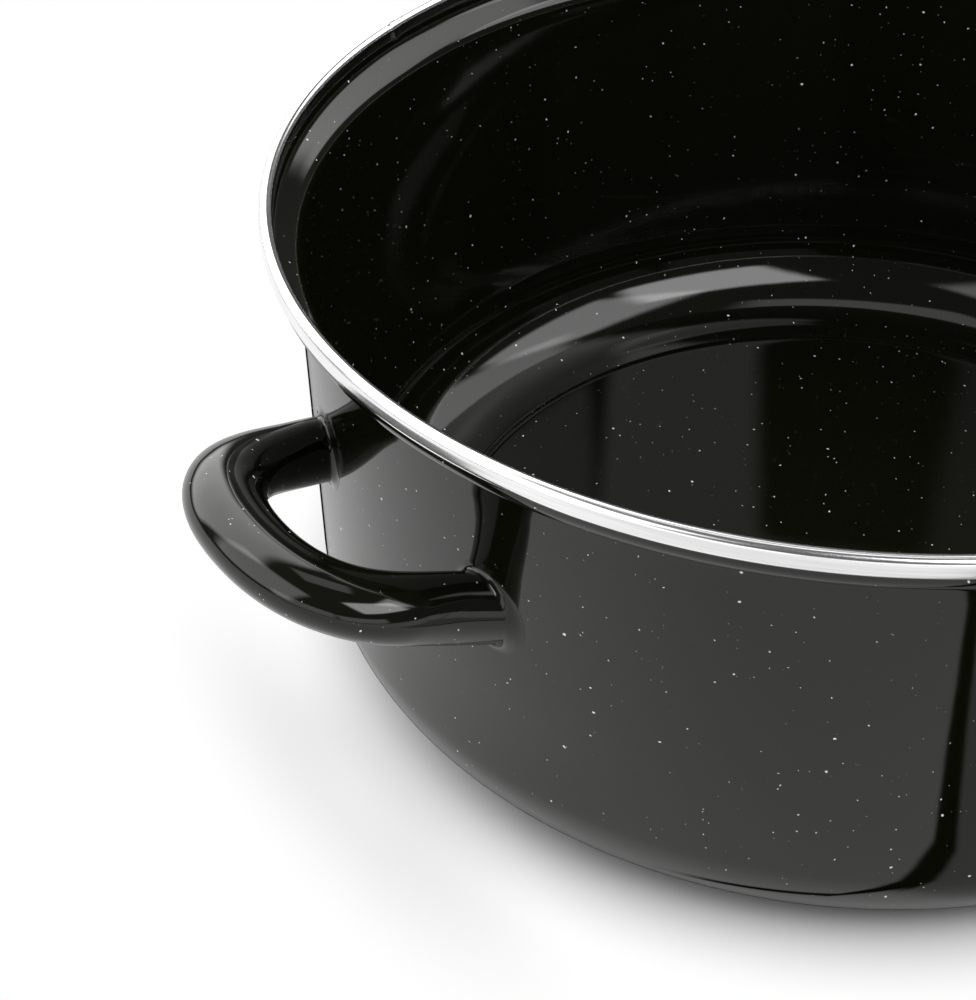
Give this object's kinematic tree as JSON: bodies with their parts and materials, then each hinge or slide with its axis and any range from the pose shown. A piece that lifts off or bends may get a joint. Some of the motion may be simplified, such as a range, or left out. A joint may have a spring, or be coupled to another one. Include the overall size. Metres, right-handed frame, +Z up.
{
  "type": "enamel casserole pot",
  "caption": "Low round enamelled steel casserole with a stepped lid seat, a rolled stainless rim band and tubular side handles.",
  "frame": {"origin": "centre of the base, on the plane of the foot ring that the pot stands on", "axes": "+X runs through both handles, +Z points up out of the mouth, +Y completes the right-handed frame"},
  "size_m": [0.3096, 0.25, 0.1052],
  "materials": {
    "enamel": "glossy black vitreous enamel with fine white flecks",
    "rim_steel": "bright rolled stainless strip with fine lengthwise streaks"
  },
  "bodies": {
    "root": {"pot_body": "enamel", "rim_band": "rim_steel", "handle_left": "enamel", "handle_right": "enamel"}
  },
  "joints": []
}
